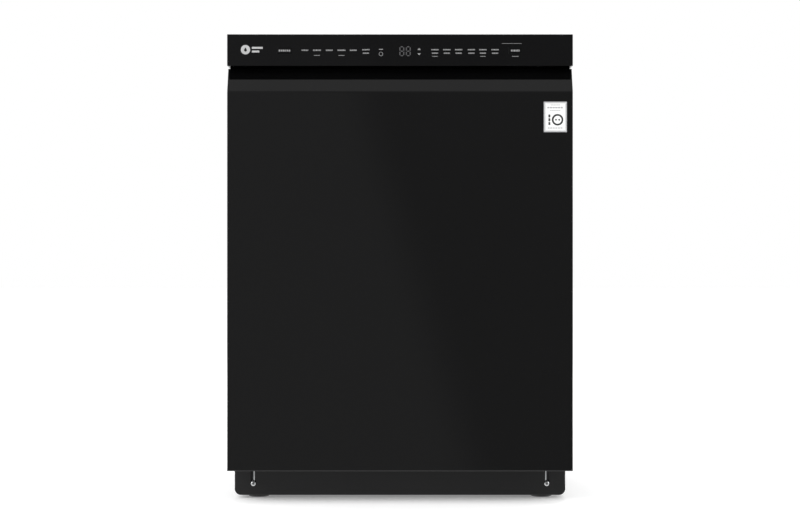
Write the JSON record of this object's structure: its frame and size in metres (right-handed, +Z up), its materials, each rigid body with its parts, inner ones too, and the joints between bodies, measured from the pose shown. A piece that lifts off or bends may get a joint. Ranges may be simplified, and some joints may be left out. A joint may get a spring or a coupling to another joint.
{
  "type": "built in dishwasher",
  "caption": "Built-in dishwasher with a black drop-down door, a grip recess under the console, a recessed toe panel, a steel tub, two sliding wire racks and spray arms.",
  "frame": {"origin": "middle of the floor under the closed machine", "axes": "+Z up, front of the door towards -Y, +X to the right seen from the front"},
  "size_m": [0.603, 0.625, 0.82],
  "materials": {
    "black_steel": "satin black enamel, faintly textured",
    "console_black": "satin-gloss black",
    "pocket_black": "matte black",
    "toe_black": "matte black paint",
    "stainless": "brushed",
    "galvanised": "spangled zinc",
    "zinc_screw": "bright zinc",
    "spring_steel": "oiled",
    "grey_plastic": "fine grain",
    "light_plastic": "smooth",
    "black_plastic": "fine grain",
    "rack_vinyl": "vinyl-coated wire",
    "seal_rubber": "soft",
    "blanket": "needled felt",
    "board_green": "solder mask",
    "paper_label": "printed paper"
  },
  "bodies": {
    "cabinet": {"base_pan": "black_plastic", "chassis_frame": "galvanised", "toe_screws": "zinc_screw", "countertop_brackets": "galvanised", "hinge_brackets": "galvanised", "springs": "spring_steel", "junction_box": "galvanised", "inlet_valve": "light_plastic", "drain_port": "grey_plastic", "tub_shell": "stainless", "tub_floor": "stainless", "tub_front_frame": "stainless", "door_seal": "seal_rubber", "insulation_blanket": "blanket", "sump": "grey_plastic", "filter_plate": "stainless", "lower_arm_hub": "grey_plastic", "circulation_pump": "black_plastic", "drain_pump": "black_plastic", "feed_pipe": "grey_plastic", "upper_rails": "stainless"},
    "door": {"door_outer_panel": "black_steel", "handle_pocket": "pocket_black", "control_panel": "console_black", "control_board": "board_green", "door_inner_liner": "stainless", "hinge_arms": "galvanised", "latch_housing": "black_plastic", "dispenser_body": "grey_plastic", "door_vent": "grey_plastic", "door_bottom_seal": "seal_rubber", "door_screws": "zinc_screw", "front_label": "paper_label"},
    "upper_rack": {"upper_rack_basket": "rack_vinyl", "upper_rack_carriers": "grey_plastic", "upper_arm_feed": "grey_plastic"},
    "lower_rack": {"lower_rack_basket": "rack_vinyl", "cutlery_basket": "grey_plastic"},
    "power_key": {"power_key": "console_black"},
    "start_key": {"start_key": "console_black"},
    "latch_lever": {"latch_lever": "galvanised"},
    "detergent_lid": {"detergent_lid": "light_plastic"},
    "rinse_cap": {"rinse_cap": "light_plastic"},
    "dispenser_button": {"dispenser_button": "light_plastic"},
    "spring_rods": {"spring_rods": "galvanised"},
    "toe_panel": {"toe_panel": "toe_black"},
    "filter_cylinder": {"filter_cylinder": "grey_plastic"},
    "lower_spray_arm": {"lower_spray_arm": "grey_plastic"},
    "float_cap": {"float_cap": "grey_plastic"},
    "upper_slides": {"upper_slides": "stainless"},
    "upper_spray_arm": {"upper_spray_arm": "grey_plastic"},
    "cup_shelf_left": {"cup_shelf_left": "rack_vinyl"},
    "cup_shelf_right": {"cup_shelf_right": "rack_vinyl"},
    "wheels_front": {"wheels_front": "grey_plastic"},
    "wheels_rear": {"wheels_rear": "grey_plastic"},
    "lower_fold_pins": {"lower_fold_pins": "rack_vinyl"},
    "foot_front_left": {"foot_front_left": "black_plastic"},
    "foot_front_right": {"foot_front_right": "black_plastic"},
    "foot_rear_left": {"foot_rear_left": "black_plastic"},
    "foot_rear_right": {"foot_rear_right": "black_plastic"}
  },
  "joints": [
    {"name": "door_hinge", "type": "hinge", "parent": "cabinet", "child": "door", "pos_m": [0, -0.27, 0.095], "axis": [1, 0, 0], "range_deg": [0, 90]},
    {"name": "upper_rack_slide", "type": "slide", "parent": "cabinet", "child": "upper_rack", "axis": [0, -1, 0], "range_m": [0, 0.4505]},
    {"name": "upper_slides_slide", "type": "slide", "parent": "cabinet", "child": "upper_slides", "axis": [0, -1, 0], "range_m": [0, 0.2255]},
    {"name": "lower_rack_slide", "type": "slide", "parent": "cabinet", "child": "lower_rack", "axis": [0, -1, 0], "range_m": [0, 0.2045]},
    {"name": "wheels_front_roll", "type": "hinge", "parent": "lower_rack", "child": "wheels_front", "pos_m": [0, -0.1, 0.1333], "axis": [1, 0, 0], "continuous": true},
    {"name": "wheels_rear_roll", "type": "hinge", "parent": "lower_rack", "child": "wheels_rear", "pos_m": [0, 0.15, 0.1333], "axis": [1, 0, 0], "continuous": true},
    {"name": "counterbalance_slide", "type": "slide", "parent": "cabinet", "child": "spring_rods", "axis": [0, -1, 0], "range_m": [0, 0.0426], "deforming": ["springs"]},
    {"name": "lower_arm_spin", "type": "hinge", "parent": "cabinet", "child": "lower_spray_arm", "pos_m": [0, 0.02, 0.14], "axis": [0, 0, 1], "continuous": true},
    {"name": "upper_arm_spin", "type": "hinge", "parent": "upper_rack", "child": "upper_spray_arm", "pos_m": [0, 0.02, 0.476], "axis": [0, 0, 1], "continuous": true},
    {"name": "filter_twist", "type": "hinge", "parent": "cabinet", "child": "filter_cylinder", "pos_m": [0, -0.044, 0.115], "axis": [0, 0, 1], "range_deg": [0, 90]},
    {"name": "float_lift", "type": "slide", "parent": "cabinet", "child": "float_cap", "axis": [0, 0, 1], "range_m": [0, 0.01]},
    {"name": "detergent_lid_slide", "type": "slide", "parent": "door", "child": "detergent_lid", "axis": [1, 0, 0], "range_m": [0, 0.075]},
    {"name": "rinse_cap_turn", "type": "hinge", "parent": "door", "child": "rinse_cap", "pos_m": [0.108, -0.25, 0.39], "axis": [0, 1, 0], "range_deg": [0, 90]},
    {"name": "dispenser_button_press", "type": "slide", "parent": "door", "child": "dispenser_button", "axis": [0, -1, 0], "range_m": [0, 0.003], "stiffness_N_per_m": 300},
    {"name": "latch_lever_turn", "type": "hinge", "parent": "door", "child": "latch_lever", "pos_m": [0, -0.2682, 0.808], "axis": [1, 0, 0], "range_deg": [0, 12], "stiffness_Nm_per_rad": 0.3, "springref_deg": -5.73},
    {"name": "power_key_press", "type": "slide", "parent": "door", "child": "power_key", "axis": [0, 1, 0], "range_m": [0, 0.0012], "stiffness_N_per_m": 800},
    {"name": "start_key_press", "type": "slide", "parent": "door", "child": "start_key", "axis": [0, 1, 0], "range_m": [0, 0.0012], "stiffness_N_per_m": 800},
    {"name": "toe_panel_slide", "type": "slide", "parent": "cabinet", "child": "toe_panel", "axis": [0, 0, 1], "range_m": [-0.028, 0]},
    {"name": "foot_front_left_screw", "type": "slide", "parent": "cabinet", "child": "foot_front_left", "axis": [0, 0, 1], "range_m": [-0.05, 0]},
    {"name": "foot_front_right_screw", "type": "slide", "parent": "cabinet", "child": "foot_front_right", "axis": [0, 0, 1], "range_m": [-0.05, 0]},
    {"name": "foot_rear_left_screw", "type": "slide", "parent": "cabinet", "child": "foot_rear_left", "axis": [0, 0, 1], "range_m": [-0.05, 0]},
    {"name": "foot_rear_right_screw", "type": "slide", "parent": "cabinet", "child": "foot_rear_right", "axis": [0, 0, 1], "range_m": [-0.05, 0]},
    {"name": "lower_pins_fold", "type": "hinge", "parent": "lower_rack", "child": "lower_fold_pins", "pos_m": [-0.075, 0.02, 0.1684], "axis": [0, 1, 0], "range_deg": [0, 85]},
    {"name": "cup_shelf_left_fold", "type": "hinge", "parent": "upper_rack", "child": "cup_shelf_left", "pos_m": [-0.2408, 0.02, 0.6076], "axis": [0, -1, 0], "range_deg": [0, 85]},
    {"name": "cup_shelf_right_fold", "type": "hinge", "parent": "upper_rack", "child": "cup_shelf_right", "pos_m": [0.2408, 0.02, 0.6076], "axis": [0, 1, 0], "range_deg": [0, 85]}
  ],
  "couplings": [
    {"joint": "upper_rack_slide", "follows": "door_hinge", "m_per_rad": 0.28648},
    {"joint": "upper_slides_slide", "follows": "door_hinge", "m_per_rad": 0.14324},
    {"joint": "lower_rack_slide", "follows": "door_hinge", "m_per_rad": 0.13},
    {"joint": "counterbalance_slide", "follows": "door_hinge", "m_per_rad": 0.027009},
    {"joint": "wheels_front_roll", "follows": "door_hinge", "ratio": 8.6665},
    {"joint": "wheels_rear_roll", "follows": "door_hinge", "ratio": 8.6665}
  ]
}
